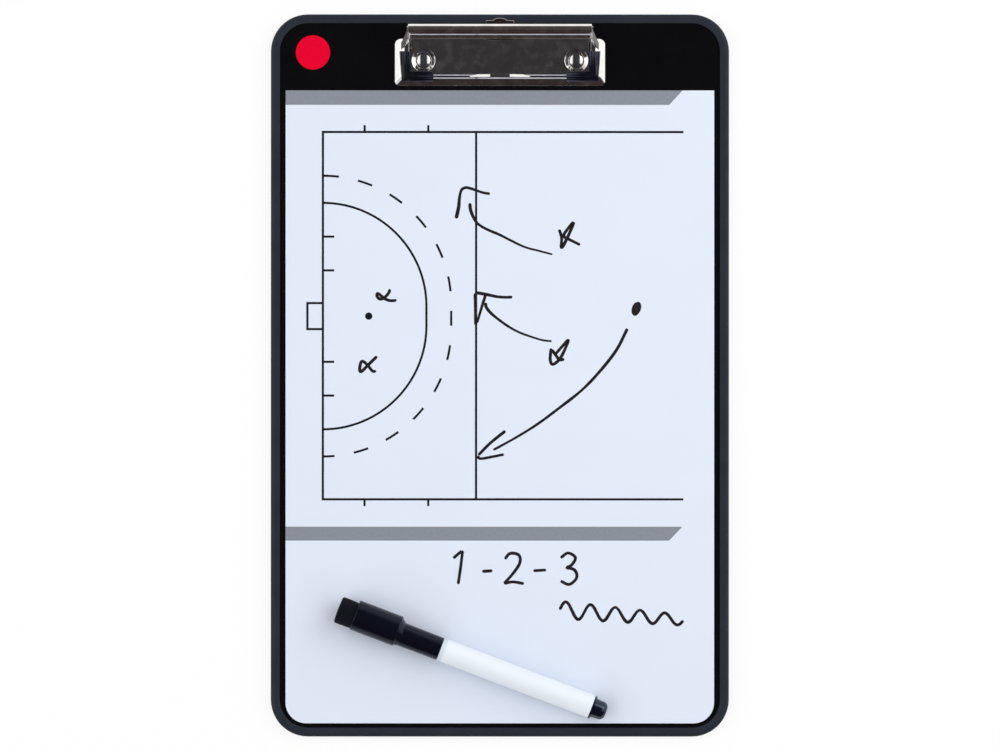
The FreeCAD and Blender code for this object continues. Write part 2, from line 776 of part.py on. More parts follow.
def hanging_eyelet():
    """Flat tab with a round hole, and a wide tail that stops it in the plate's rear gate."""
    tip = pin_y + eyelet_reach
    ring_y = tip - eyelet_ring / 2
    tail_back = pin_y + plate_back - metal - eyelet_travel - eyelet_gap
    tail_front = tail_back - eyelet_tail_length
    tab_half = eyelet_width / 2
    tail_half = eyelet_tail_width / 2
    tab = box(-tab_half, tab_half, tail_front, tip - eyelet_shoulder, eyelet_bottom, eyelet_top)
    ring = cylinder(eyelet_ring / 2, 0, ring_y, eyelet_bottom, eyelet_top)
    tail = box(-tail_half, tail_half, tail_front, tail_back, eyelet_bottom, eyelet_top)
    eyelet = fused([tab, ring, tail])
    eyelet = eyelet.makeChamfer(eyelet_chamfer, [edge for edge in eyelet.Edges if is_tip_edge(edge, tip)])
    return eyelet.cut(cylinder(eyelet_hole / 2, 0, ring_y, eyelet_bottom, eyelet_top))


# Marker, built along Z from the eraser's end and then laid on the sheet

def marker_placement():
    """Lay the marker on the sheet, resting on the cap's edge and the barrel's far end."""
    drop = cap_wide_diameter / 2 - barrel_radius
    tilt = math.atan2(drop, barrel_end - cap_wide_end)
    rest = sheet_top + marker_rest_gap + cap_wide_diameter / 2 * math.cos(tilt)
    height = rest + cap_wide_end * math.sin(tilt)
    yaw = math.radians(marker_angle)
    middle = plug_end / 2 * math.cos(tilt)
    middle_y = sheet_edges()[1] + marker_mid_above_foot
    start = vec(marker_mid_x - middle * math.cos(yaw), middle_y - middle * math.sin(yaw), height)
    lay = FreeCAD.Rotation(vec(0, 1, 0), 90 + math.degrees(tilt))
    turn = FreeCAD.Rotation(vec(0, 0, 1), marker_angle)
    return FreeCAD.Placement(start, turn.multiply(lay))


def laid(shape):
    """A marker piece moved from its own axis to its place on the sheet."""
    piece = shape.copy()
    piece.Placement = marker_placement().multiply(piece.Placement)
    return piece


def marker_barrel():
    """White tube of the marker."""
    chamfer = collar_step
    outline = [(barrel_bore, barrel_start), (barrel_radius - chamfer, barrel_start),
               (barrel_radius, barrel_start + chamfer), (barrel_radius, barrel_end - chamfer),
               (barrel_radius - chamfer, barrel_end), (barrel_bore, barrel_end)]
    return turned(outline)


def marker_front_section():
    """Nib holder: a collar against the barrel, a neck in the cap and a tapered nose."""
    hole = nib_diameter / 2 + bore_play
    collar = barrel_radius - collar_step
    spigot = barrel_bore - bore_play
    spigot_end = barrel_start + front_spigot
    neck = neck_diameter / 2
    outline = [(hole, nose_start), (nose_diameter / 2, nose_start), (neck, neck_start), (neck, collar_start),
               (collar, collar_start), (collar, barrel_start), (spigot, barrel_start), (spigot, spigot_end),
               (hole, spigot_end)]
    return turned(outline)


def marker_nib():
    """Bullet nib that runs back to the ink reservoir."""
    radius = nib_diameter / 2
    tip = radius - nib_point
    back = barrel_start + front_spigot
    outline = [(0, nib_tip), (tip, nib_tip), (radius, nib_tip + nib_taper), (radius, back), (0, back)]
    return turned(outline)


def ink_reservoir():
    """Fibre rod that fills the barrel between the nib and the end plug."""
    start = barrel_start + front_spigot + bore_play
    end = barrel_end - plug_spigot - reservoir_gap
    return cylinder(barrel_bore - reservoir_gap, 0, 0, start, end)


def marker_end_plug():
    """Black plug: a spigot in the barrel, a flange and a rounded stub."""
    spigot = barrel_bore - bore_play
    flange = barrel_radius - collar_step / 2
    flange_end = barrel_end + plug_flange
    outline = [(0, barrel_end - plug_spigot), (spigot, barrel_end - plug_spigot), (spigot, barrel_end),
               (flange, barrel_end), (flange, flange_end), (plug_diameter / 2, flange_end),
               (plug_end_diameter / 2, plug_end), (0, plug_end)]
    plug = turned(outline)
    rims = [edge for edge in plug.Edges if edge.BoundBox.ZMin > plug_end - 1e-6]
    return plug.makeFillet(plug_round, rims)


def marker_cap():
    """Cap with a wide eraser end, set a little to one side, and a narrow mouth."""
    wide = cylinder(cap_wide_diameter / 2, 0, cap_wide_offset, cap_start, cap_wide_end)
    ends = [edge for edge in wide.Edges if edge.BoundBox.ZLength < 1e-6]
    wide = wide.makeFillet(cap_wide_round, ends)
    cone_radius = cap_wide_diameter / 2 - cap_wide_round
    root_radius = cap_root_diameter / 2
    cone_big = Part.Wire(Part.makeCircle(cone_radius, vec(0, cap_wide_offset, cap_wide_end)))
    cone_small = Part.Wire(Part.makeCircle(root_radius, vec(0, 0, cap_cone_end)))
    cone = Part.makeLoft([cone_big, cone_small], True, True)
    narrow = Part.makeCone(root_radius, cap_mouth_diameter / 2, cap_narrow_length, vec(0, 0, cap_cone_end))
    cap = fused([wide, cone, narrow])
    cap = cap.cut(cylinder(cap_bore, 0, 0, seal_start, cap_mouth))
    stub = eraser_stub_diameter / 2 + eraser_play
    return cap.cut(cylinder(stub, 0, 0, cap_start, cap_start + eraser_stub + eraser_play))


def cap_inner_seal():
    """Soft cup at the bottom of the cap that closes round the nib."""
    outer = cap_bore - bore_play
    inner = outer - seal_wall
    outline = [(0, seal_start), (outer, seal_start), (outer, seal_mouth), (inner, seal_mouth),
               (inner, seal_start + seal_floor), (0, seal_start + seal_floor)]
    return turned(outline)


def eraser_pad():
    """Felt pad on the cap's end, with a stub held in the cap."""
    pad = cylinder(eraser_diameter / 2, 0, eraser_offset, 0, eraser_length)
    rim = [edge for edge in pad.Edges if edge.BoundBox.ZMax < 1e-6]
    pad = pad.makeFillet(eraser_round, rim)
    stub = cylinder(eraser_stub_diameter / 2, 0, 0, eraser_length, eraser_length + eraser_stub)
    return fused([pad, stub])


# Build and export

def all_pieces():
    bow = clip_bow()
    guard = corner_guard(bow)
    return {
        "edge_frame": edge_frame(),
        "board_core": board_core(),
        "writing_sheet": writing_sheet(),
        "clip_base_plate": clip_base_plate(),
        "rivet_left": rivet(*rivet_places()[0]),
        "rivet_right": rivet(*rivet_places()[1]),
        "rivet_washers": rivet_washers(),
        "hinge_pin": hinge_pin(),
        "torsion_spring_left": torsion_spring(-spring_x),
        "torsion_spring_right": torsion_spring(spring_x),
        "clip_bow": bow,
        "corner_guard_left": mirrored(guard),
        "corner_guard_right": guard,
        "hanging_eyelet": hanging_eyelet(),
        "marker_barrel": laid(marker_barrel()),
        "marker_front_section": laid(marker_front_section()),
        "marker_nib": laid(marker_nib()),
        "ink_reservoir": laid(ink_reservoir()),
        "marker_end_plug": laid(marker_end_plug()),
        "marker_cap": laid(marker_cap()),
        "cap_inner_seal": laid(cap_inner_seal()),
        "eraser_pad": laid(eraser_pad()),
    }


os.makedirs("parts", exist_ok=True)
for name, shape in all_pieces().items():
    solids = len(shape.Solids)
    print("%-22s solids %d valid %s volume %.1f mm3" % (name, solids, shape.isValid(), shape.Volume))
    shape.exportStep("parts/" + name + ".step")
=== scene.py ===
import json
import math

import bmesh
import bpy
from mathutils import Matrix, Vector, noise


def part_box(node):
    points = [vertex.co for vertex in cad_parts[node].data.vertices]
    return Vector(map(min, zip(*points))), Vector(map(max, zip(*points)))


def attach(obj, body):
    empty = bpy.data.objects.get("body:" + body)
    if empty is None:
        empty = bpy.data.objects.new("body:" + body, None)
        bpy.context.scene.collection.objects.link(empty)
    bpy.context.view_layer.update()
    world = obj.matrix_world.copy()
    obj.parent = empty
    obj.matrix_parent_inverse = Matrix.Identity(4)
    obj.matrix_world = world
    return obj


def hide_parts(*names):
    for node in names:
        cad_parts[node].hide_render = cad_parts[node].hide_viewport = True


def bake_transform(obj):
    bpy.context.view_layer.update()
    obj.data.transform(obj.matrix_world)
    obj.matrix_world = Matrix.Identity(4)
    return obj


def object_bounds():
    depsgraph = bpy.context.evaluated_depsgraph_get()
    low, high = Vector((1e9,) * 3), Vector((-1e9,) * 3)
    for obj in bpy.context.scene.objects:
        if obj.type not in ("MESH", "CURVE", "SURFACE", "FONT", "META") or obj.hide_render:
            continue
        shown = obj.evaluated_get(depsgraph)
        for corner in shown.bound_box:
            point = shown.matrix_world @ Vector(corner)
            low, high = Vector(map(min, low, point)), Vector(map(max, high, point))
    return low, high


# The looks of the tactics board: finishes, printed field, ink, felt eraser, springs, light and camera.
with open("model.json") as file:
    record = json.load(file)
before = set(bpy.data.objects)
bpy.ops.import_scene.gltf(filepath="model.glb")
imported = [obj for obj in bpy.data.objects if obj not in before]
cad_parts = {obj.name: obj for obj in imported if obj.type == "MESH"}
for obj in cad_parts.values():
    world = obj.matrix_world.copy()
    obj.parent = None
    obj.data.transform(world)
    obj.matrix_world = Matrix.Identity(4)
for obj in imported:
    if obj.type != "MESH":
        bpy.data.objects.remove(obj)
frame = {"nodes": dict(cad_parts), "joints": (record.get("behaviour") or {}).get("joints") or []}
cad_low, cad_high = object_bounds()
nodes = frame["nodes"]

# The drawing on the sheet is written in millimetres, in the board's X and Y.
MM = 0.001

# Heights that the print, the ink and the badge lie at
sheet_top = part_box("writing_sheet")[1].z
panel_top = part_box("board_core")[1].z
print_seat = 0.004 * MM
print_height = 0.02 * MM
ink_height = 0.035 * MM
badge_height = 0.12 * MM

# Each line or stroke lies a little higher than the one before it, and a stroke rises along its run.
print_layer = 0.0004 * MM
ink_layer = 0.004 * MM
ink_rise = 0.003 * MM

# Grey heading bands
sheet_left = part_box("writing_sheet")[0].x / MM
sheet_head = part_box("writing_sheet")[1].y / MM
band_slant = 6.4
band_end = 88.4
bands = ((sheet_head, 131.1), (-73.25, -80.0))

# Half field
line_width = 1.09
field_back = -85.75
field_open_end = 88.9
field_top = 117.95
field_foot = -60.0
field_quarter = -11.53
circle_middle = 28.75
circle_radius = 50.15
circle_straight = 4.7
dash_radius = 62.15
dash_straight = 5.85
dash_lead = 0.45
dash_length = 7.3
dash_pitch = 16.735
goal_depth = 7.5
goal_half = 6.3
spot_reach = 22.2
spot_radius = 1.78
spot_corners = 64
tick_length = 5.5
back_ticks = (22.15, 38.5)
side_tick_length = 3.3
side_ticks = (-65.55, -34.7)

# Ink strokes, drawn by hand; an arrow's stroke runs from one width to another
ink_width = 1.5
ink_step = 0.3
arrow_strokes = [
    (1.75, 1.2, [(-21.2, 76.0), (-20.0, 81.6), (-19.6, 86.0), (-18.7, 89.7), (-16.7, 91.0), (-14.2, 90.6),
                 (-11.0, 89.5), (-7.9, 88.5), (-4.6, 88.0)]),
    (1.55, 0.9, [(-14.6, 83.6), (-14.2, 80.2), (-12.8, 76.6), (-10.8, 73.6), (-6.5, 70.9), (-0.2, 68.2),
                 (6.1, 65.0), (12.4, 62.1), (19.6, 60.2), (25.7, 58.6)]),
    (1.6, 1.5, [(-12.0, 39.9), (-11.8, 32.0), (-11.7, 24.3)]),
    (1.6, 1.4, [(-11.4, 40.1), (-6.7, 39.3), (-2.0, 38.3), (2.1, 37.9), (6.3, 38.0)]),
    (1.5, 1.2, [(-6.7, 39.8), (-8.8, 33.1), (-11.1, 25.3)]),
    (1.5, 0.85, [(-6.9, 35.3), (-6.6, 33.1), (-4.6, 30.5), (-1.0, 27.4), (4.2, 23.7), (9.4, 20.9),
                 (15.1, 18.8), (20.8, 17.1), (25.2, 16.6)]),
    (1.6, 1.15, [(61.8, 22.8), (56.3, 12.1), (47.7, 1.2), (39.2, -7.5), (28.4, -16.0), (17.7, -23.9),
                 (7.0, -30.5), (-3.4, -36.2)]),
    (1.5, 1.4, [(2.7, -26.8), (-4.8, -32.9), (-10.6, -38.8)]),
    (1.4, 1.3, [(-10.6, -38.8), (-9.6, -40.3), (-3.8, -39.4), (2.1, -38.2)]),
]
player_strokes = [
    [(28.7, 70.8), (29.9, 66.7), (29.8, 61.8), (32.4, 66.2), (35.7, 74.1), (32.0, 69.9), (31.0, 67.4),
     (33.6, 65.9), (39.1, 63.2)],
    [(24.8, 13.2), (24.4, 7.6), (25.7, 5.4), (29.5, 8.7), (33.2, 17.1), (30.1, 14.0), (27.0, 10.4)],
    [(25.1, 12.6), (27.3, 9.6), (29.0, 7.6), (31.5, 8.0)],
    [(-53.4, 41.9), (-53.8, 40.1), (-56.2, 37.5), (-58.4, 37.1), (-59.6, 38.6), (-59.2, 39.8), (-57.3, 38.4),
     (-55.1, 36.8), (-52.5, 36.2), (-49.9, 36.5)],
    [(-59.5, 9.3), (-64.0, 4.9), (-67.0, 1.9), (-67.9, 2.6), (-67.5, 5.8), (-66.4, 6.9), (-64.0, 4.9),
     (-61.8, 2.2), (-60.5, 2.1), (-60.1, 2.8)],
]
number_strokes = [
    [(-22.6, -88.6), (-19.6, -86.0), (-18.0, -84.8)],
    [(-18.0, -84.8), (-19.0, -93.0), (-20.2, -101.2)],
    [(-8.6, -94.9), (-3.4, -94.6)],
    [(2.4, -89.0), (5.0, -86.2), (9.2, -87.0), (9.6, -91.0), (6.0, -96.4), (2.0, -100.8)],
    [(2.0, -100.8), (6.4, -100.0), (12.0, -100.9)],
    [(16.2, -94.6), (22.6, -94.2)],
    [(29.4, -88.4), (33.0, -86.0), (36.6, -88.2), (34.6, -92.0), (31.8, -93.0)],
    [(31.8, -93.0), (36.2, -94.2), (37.2, -98.0), (33.6, -101.2), (29.2, -99.4)],
]
ball_middle = (66.1, 32.4)
ball_halves = (2.2, 3.5)
ball_lean = -20.0
ball_corners = 48
wave_start = (29.0, -113.5)
wave_run = 60.0
wave_drop = 5.0
wave_swing = 4.2
wave_fade = 0.4
wave_turns = 5
wave_turn_points = 8

# Unevenness of the ink: how fast the noise runs, its row, and the share of the width that it changes
slow_rate, slow_row, slow_share = 0.12, 0.0, 0.18
quick_rate, quick_row, quick_share = 0.9, 7.0, 0.06
ball_rate, ball_row, ball_share = 1.5, 3.0, 0.06
stroke_blunt = 0.02
arrow_seed, player_seed, number_seed, wave_seed = 0, 20, 40, 60

# Red badge on the panel
badge_middle = (-90.6, 156.5)
badge_radius = 8.3
badge_chamfer = 0.06
badge_corners = 128

# Felt eraser
felt_sides = 144
felt_dome = 0.2 * MM
felt_corner = 1.0 * MM
felt_pull = 0.2 * MM
felt_fuzz = 0.06 * MM
felt_fibre = 0.35 * MM
felt_face_rings = 16
felt_corner_rings = 10
felt_side_rings = 24

# Moulded plastic: size of its colour and gloss patches, how far the gloss swings, a cool tint for mirroring
mould_patch = 18 * MM
mould_gloss_patch = 6 * MM
mould_dull, mould_bright = 1.15, 0.85
cool_mirror = (0.62, 0.76, 1.0)

# Camera: straight above, far away with a long lens
camera_place = (0.00006, 0.00024, 4.0)
camera_lens = 296.9
camera_roll = 0.016
camera_reach = 100.0

# Floor
floor_half = 20.0
floor_gap = 0.1 * MM
floor_color = (0.97, 0.97, 0.97)
floor_glow = 0.85

# The studio round the board, as light and reflections see it
roof_color = (0.038, 0.037, 0.040)
front_color = (0.035, 0.026, 0.026)
horizon_color = (0.28, 0.25, 0.23)
back_color = (0.3, 0.3, 0.3)
side_color = (1.15, 1.15, 1.15)

# Where each colour of the studio starts and is full, on a direction's Y, Z, Y and X
front_turn = (-0.2, -0.8)
horizon_turn = (0.17, 0.0)
back_turn = (0.72, 0.85)
side_turn = (0.28, 0.42)

# Where the white sides start to fade in reflections and where they are gone, on a direction's Y
side_mirror_end = (-0.2, -0.36)

# Soft lights: name, place, size, power, and whether reflections show it
softboxes = (
    ("key_right", (0.85, 0.45, 0.75), 0.7, 3.4, True),
    ("fill_left", (-0.85, -0.25, 0.75), 0.8, 1.5, True),
    ("overhead", (0.1, 0.15, 1.3), 1.0, 3.75, False),
)


# Shapes

def mesh_piece(name, build):
    """A mesh piece that a function fills."""
    mesh = bpy.data.meshes.new(name)
    piece = bpy.data.objects.new(name, mesh)
    bpy.context.scene.collection.objects.link(piece)
    shape = bmesh.new()
    build(shape)
    bmesh.ops.recalc_face_normals(shape, faces=shape.faces)
    shape.to_mesh(mesh)
    shape.free()
    return piece


def add_walls(shape, rings):
    """Faces between each ring of corners and the next."""
    for a, b in zip(rings, rings[1:]):
        for i in range(len(a)):
            j = (i + 1) % len(a)
            shape.faces.new((a[i], a[j], b[j], b[i]))


def add_closed(shape, rings):
    """A closed form: walls between its rings and a face over each end."""
    add_walls(shape, rings)
    shape.faces.new(rings[0][::-1])
    shape.faces.new(rings[-1])


def add_stack(shape, levels):
    """A closed form from outlines of (x, y) points in millimetres, each at its height."""
    add_closed(shape, [[shape.verts.new((x * MM, y * MM, z)) for x, y in outline] for outline, z in levels])


def add_strip(shape, line, halves, low, high, rise=0.0):
    """A closed thin strip along a line, with its half width at each point."""
    rings = []
    for i, (point, half) in enumerate(zip(line, halves)):
        way = (line[min(i + 1, len(line) - 1)] - line[max(i - 1, 0)]).normalized()
        side = Vector((-way.y, way.x)) * half
        left, right = (point + side) * MM, (point - side) * MM
        top = high + rise * i / (len(line) - 1)
        corners = ((*right, low), (*left, low), (*left, top), (*right, top))
        rings.append([shape.verts.new(corner) for corner in corners])
    add_closed(shape, rings)


def add_line(shape, points, layer):
    """A printed line of even width."""
    line = [Vector(point) for point in points]
    halves = [line_width / 2] * len(line)
    add_strip(shape, line, halves, sheet_top + print_seat, sheet_top + print_height + print_layer * layer)


def smooth_line(points, steps=10):
    """A Catmull-Rom curve through the points of a stroke."""
    knots = [Vector(point) for point in points]
    knots = [2 * knots[0] - knots[1]] + knots + [2 * knots[-1] - knots[-2]]
    line = []
    for a, b, c, d in zip(knots, knots[1:], knots[2:], knots[3:]):
        for step in range(steps):
            t = step / steps
            bend = (2 * a - 5 * b + 4 * c - d) * t ** 2 + (3 * b - a - 3 * c + d) * t ** 3
            line.append((2 * b + (c - a) * t + bend) / 2)
    return line + [knots[-2]]


def evenly_spaced(line, step):
    """The same line with its points one step apart."""
    spaced = [line[0]]
    for point in line[1:]:
        while (point - spaced[-1]).length >= step:
            spaced.append(spaced[-1] + (point - spaced[-1]).normalized() * step)
    return spaced


def ink_halves(count, seed, start_width, end_width):
    """Half widths of a stroke: round at both ends, a little uneven between."""
    halves = []
    for i in range(count):
        along = i * ink_step
        half = (start_width + (end_width - start_width) * i / (count - 1)) / 2
        reach = min(along, (count - 1 - i) * ink_step) / half
        end = math.sqrt(max(1 - (1 - min(reach, 1)) ** 2, stroke_blunt))
        slow = slow_share * noise.noise((along * slow_rate, seed, slow_row))
        quick = quick_share * noise.noise((along * quick_rate, seed, quick_row))
        halves.append(half * end * (1 + slow + quick))
    return halves


def add_stroke(shape, points, layer, seed, start_width=ink_width, end_width=ink_width):
    """A stroke of the marker."""
    line = evenly_spaced(smooth_line(points), ink_step)
    halves = ink_halves(len(line), seed, start_width, end_width)
    high = sheet_top + ink_height + ink_layer * layer
    add_strip(shape, line, halves, sheet_top + print_seat, high, ink_rise)


def bent_round(radius, straight, along):
    """Point at a length along a goal circle: a quarter, a straight of twice the given half, a quarter."""
    quarter = radius * math.pi / 2
    if along < quarter:
        angle = along / radius
        return field_back + radius * math.sin(angle), circle_middle + straight + radius * math.cos(angle)
    if along < quarter + 2 * straight:
        return field_back + radius, circle_middle + straight - (along - quarter)
    angle = math.pi / 2 + (along - quarter - 2 * straight) / radius
    return field_back + radius * math.sin(angle), circle_middle - straight + radius * math.cos(angle)


def circle_run(radius, straight, start, end):
    """Points of a goal circle between two lengths, about a millimetre apart."""
    count = max(2, math.ceil(end - start))
    return [bent_round(radius, straight, start + (end - start) * i / count) for i in range(count + 1)]


def round_outline(middle, radius, corners):
    """A circle as an outline of points."""
    turns = [2 * math.pi * i / corners for i in range(corners)]
    return [(middle[0] + radius * math.cos(turn), middle[1] + radius * math.sin(turn)) for turn in turns]


def field_lines():
    """Lines of the half field: sides, back, quarter line, goal, ticks and the two circles."""
    half = line_width / 2
    goal_back = field_back - goal_depth
    lines = [
        [(field_back - half, field_top), (field_open_end, field_top)],
        [(field_back - half, field_foot), (field_open_end, field_foot)],
        [(field_back, field_foot), (field_back, field_top)],
        [(field_quarter, field_foot), (field_quarter, field_top)],
        [(goal_back, circle_middle - goal_half), (goal_back, circle_middle + goal_half)],
    ]
    for side in (-goal_half, goal_half):
        lines.append([(goal_back - half, circle_middle + side), (field_back, circle_middle + side)])
    for reach in back_ticks:
        for y in (circle_middle - reach, circle_middle + reach):
            lines.append([(field_back, y), (field_back + tick_length, y)])
    for x in side_ticks:
        lines.append([(x, field_top), (x, field_top + side_tick_length)])
        lines.append([(x, field_foot), (x, field_foot - side_tick_length)])
    whole = math.pi * circle_radius + 2 * circle_straight
    lines.append(circle_run(circle_radius, circle_straight, 0, whole))
    dashes = math.pi * dash_radius + 2 * dash_straight
    for i in range(math.ceil(dashes / dash_pitch)):
        start = dash_lead + i * dash_pitch
        end = min(start + dash_length, dashes)
        lines.append(circle_run(dash_radius, dash_straight, start, end))
    return lines


def draw_field(shape):
    """The half field's lines and its spot."""
    for layer, points in enumerate(field_lines()):
        add_line(shape, points, layer)
    spot = round_outline((field_back + spot_reach, circle_middle), spot_radius, spot_corners)
    add_stack(shape, ((spot, sheet_top + print_seat), (spot, sheet_top + print_height)))


def draw_bands(shape):
    """Two grey heading bands with slanted ends."""
    for top, foot in bands:
        outline = [(sheet_left, foot), (band_end - band_slant, foot), (band_end, top), (sheet_left, top)]
        add_stack(shape, ((outline, sheet_top + print_seat), (outline, sheet_top + print_height)))


def draw_arrows(shape):
    """Arrows of the players' ways."""
    for layer, (start_width, end_width, points) in enumerate(arrow_strokes):
        add_stroke(shape, points, layer, arrow_seed + layer, start_width, end_width)


def draw_players(shape):
    """Players' marks and the inked ball."""
    for layer, points in enumerate(player_strokes):
        add_stroke(shape, points, layer, player_seed + layer)
    lean = math.radians(ball_lean)
    outline = []
    for x, y in round_outline((0, 0), 1, ball_corners):
        wobble = 1 + ball_share * noise.noise((x * ball_rate, y * ball_rate, ball_row))
        u, v = x * ball_halves[0] * wobble, y * ball_halves[1] * wobble
        turned = (u * math.cos(lean) - v * math.sin(lean), u * math.sin(lean) + v * math.cos(lean))
        outline.append((ball_middle[0] + turned[0], ball_middle[1] + turned[1]))
    add_stack(shape, ((outline, sheet_top + print_seat), (outline, sheet_top + ink_height)))


def draw_numbers(shape):
    """Plain numbers with dashes between."""
    for layer, points in enumerate(number_strokes):
        add_stroke(shape, points, layer, number_seed + layer)


def draw_wave(shape):
    """A wavy run line that dies down to the right."""
    points = []
    count = wave_turn_points * wave_turns
    for i in range(count + 1):
        t = i / count
        swing = wave_swing * (1 - wave_fade * t) * math.sin(2 * math.pi * wave_turns * t)
        points.append((wave_start[0] + wave_run * t, wave_start[1] - wave_drop * t + swing))
    add_stroke(shape, points, 0, wave_seed)


def draw_badge(shape):
    """Plain round badge with a chamfered rim."""
    outline = round_outline(badge_middle, badge_radius, badge_corners)
    inner = round_outline(badge_middle, badge_radius - badge_chamfer, badge_corners)
    top = panel_top + badge_height
    add_stack(shape, ((outline, panel_top + print_seat), (outline, top - badge_chamfer * MM), (inner, top)))


def marker_axis():
    """Unit direction from the marker's plug to its eraser, as the cap pulls off."""
    joint = next(joint for joint in frame["joints"] if joint["name"] == "cap_pull")
    return Vector(joint["axis"]).normalized()


def felt_frame():
    """The eraser's place from its solid: outer end's middle, three square directions, radius, length."""
    way = marker_axis()
    across = way.cross(Vector((0, 0, 1))).normalized()
    rise = across.cross(way)
    points = [vertex.co for vertex in nodes["eraser_pad"].data.vertices]
    spans = []
    for direction in (way, across, rise):
        reach = [point.dot(direction) for point in points]
        spans.append((min(reach), max(reach)))
    end = spans[0][1]
    middle = [(low + high) / 2 for low, high in spans[1:]]
    radius = (spans[1][1] - spans[1][0]) / 2
    seat = max(vertex.co.dot(way) for vertex in nodes["marker_cap"].data.vertices)
    origin = way * end + across * middle[0] + rise * middle[1]
    return origin, way, across, rise, radius, end - seat


def felt_profile(radius, length):
    """Depth from the outer end and radius: a domed face, a round corner, sides that draw in at the cap."""
    flat = radius - felt_corner
    profile = []
    for i in range(1, felt_face_rings + 1):
        share = i / felt_face_rings
        profile.append((felt_dome * share ** 2, flat * share))
    for i in range(1, felt_corner_rings + 1):
        angle = i / felt_corner_rings * math.pi / 2
        depth = felt_dome + felt_corner * (1 - math.cos(angle))
        profile.append((depth, flat + felt_corner * math.sin(angle)))
    side_start = felt_dome + felt_corner
    for i in range(1, felt_side_rings + 1):
        share = i / felt_side_rings
        profile.append((side_start + (length - side_start) * share, radius - felt_pull * share ** 3))
    return profile


def draw_felt(shape):
    """Felt pad with a fuzzy surface."""
    origin, way, across, rise, radius, length = felt_frame()
    tip = shape.verts.new(origin)
    rings = []
    for depth, ring_radius in felt_profile(radius, length):
        ring = []
        for k in range(felt_sides):
            turn = 2 * math.pi * k / felt_sides
            out = across * math.cos(turn) + rise * math.sin(turn)
            place = origin - way * depth + out * ring_radius
            fuzz = felt_fuzz * (noise.noise(place / felt_fibre) - 0.5)
            ring.append(shape.verts.new(place + out * fuzz))
        rings.append(ring)
    for i in range(felt_sides):
        shape.faces.new((tip, rings[0][i], rings[0][(i + 1) % felt_sides]))
    add_walls(shape, rings)
    shape.faces.new(rings[-1])


# Materials

def new_material(name, color, roughness, metallic=0.0, specular=0.5):
    """A material with plain values on its shader. Returns it with its node tree and shader."""
    material = bpy.data.materials.new(name)
    material.use_nodes = True
    shader = material.node_tree.nodes["Principled BSDF"]
    shader.inputs["Base Color"].default_value = (*color, 1.0)
    shader.inputs["Roughness"].default_value = roughness
    shader.inputs["Metallic"].default_value = metallic
    shader.inputs["Specular IOR Level"].default_value = specular
    return material, material.node_tree, shader


def grain(tree, size, detail=4.0, stretch=(1.0, 1.0, 1.0)):
    """Noise with cells of a size in metres, in the object's own frame."""
    place = tree.nodes.new("ShaderNodeTexCoord")
    scale = tree.nodes.new("ShaderNodeMapping")
    scale.inputs["Scale"].default_value = stretch
    texture = tree.nodes.new("ShaderNodeTexNoise")
    texture.inputs["Scale"].default_value = 1 / size
    texture.inputs["Detail"].default_value = detail
    tree.links.new(place.outputs["Object"], scale.inputs["Vector"])
    tree.links.new(scale.outputs["Vector"], texture.inputs["Vector"])
    return texture.outputs["Fac"]


def spread(tree, value, low, high, from_low=0.3, from_high=0.7):
    """A value between low and high."""
    node = tree.nodes.new("ShaderNodeMapRange")
    node.inputs["From Min"].default_value = from_low
    node.inputs["From Max"].default_value = from_high
    node.inputs["To Min"].default_value = low
    node.inputs["To Max"].default_value = high
    tree.links.new(value, node.inputs["Value"])
    return node.outputs["Result"]


def mixed_color(tree, factor, first, second):
    """The second colour over the first, which is a colour or a socket."""
    node = tree.nodes.new("ShaderNodeMix")
    node.data_type = "RGBA"
    if isinstance(first, tuple):
        node.inputs["A"].default_value = (*first, 1.0)
    else:
        tree.links.new(first, node.inputs["A"])
    node.inputs["B"].default_value = (*second, 1.0)
    tree.links.new(factor, node.inputs["Factor"])
    return node.outputs["Result"]


def shaded(color, factor):
    """A colour made darker or lighter."""
    return tuple(min(1.0, channel * factor) for channel in color)


def tint(tree, shader, value, color, dark, light, **limits):
    """Base colour that runs with a value between two multiples of a colour."""
    factor = spread(tree, value, 0, 1, **limits)
    mixed = mixed_color(tree, factor, shaded(color, dark), shaded(color, light))
    tree.links.new(mixed, shader.inputs["Base Color"])


def gloss(tree, shader, value, bright, dull, **limits):
    """Roughness that runs with a value from bright to dull."""
    tree.links.new(spread(tree, value, bright, dull, **limits), shader.inputs["Roughness"])


def bump(tree, shader, value, depth, edge=0.0):
    """Surface relief of a depth in metres, over edges that are softened by a radius."""
    node = tree.nodes.new("ShaderNodeBump")
    node.inputs["Distance"].default_value = depth
    tree.links.new(value, node.inputs["Height"])
    if edge > 0:
        soft = tree.nodes.new("ShaderNodeBevel")
        soft.samples = 6
        soft.inputs["Radius"].default_value = edge
        tree.links.new(soft.outputs["Normal"], node.inputs["Normal"])
    tree.links.new(node.outputs["Normal"], shader.inputs["Normal"])


def grained(name, color, roughness, cell, depth, vary=0.12, specular=0.5):
    """A moulded surface: slow colour patches, uneven gloss and a fine grain."""
    material, tree, shader = new_material(name, color, roughness, specular=specular)
    tint(tree, shader, grain(tree, mould_patch), color, dark=1 - vary, light=1 + vary)
    patches = grain(tree, mould_gloss_patch)
    gloss(tree, shader, patches, bright=roughness * mould_bright, dull=roughness * mould_dull)
    bump(tree, shader, grain(tree, cell, detail=3.0), depth)
    return material


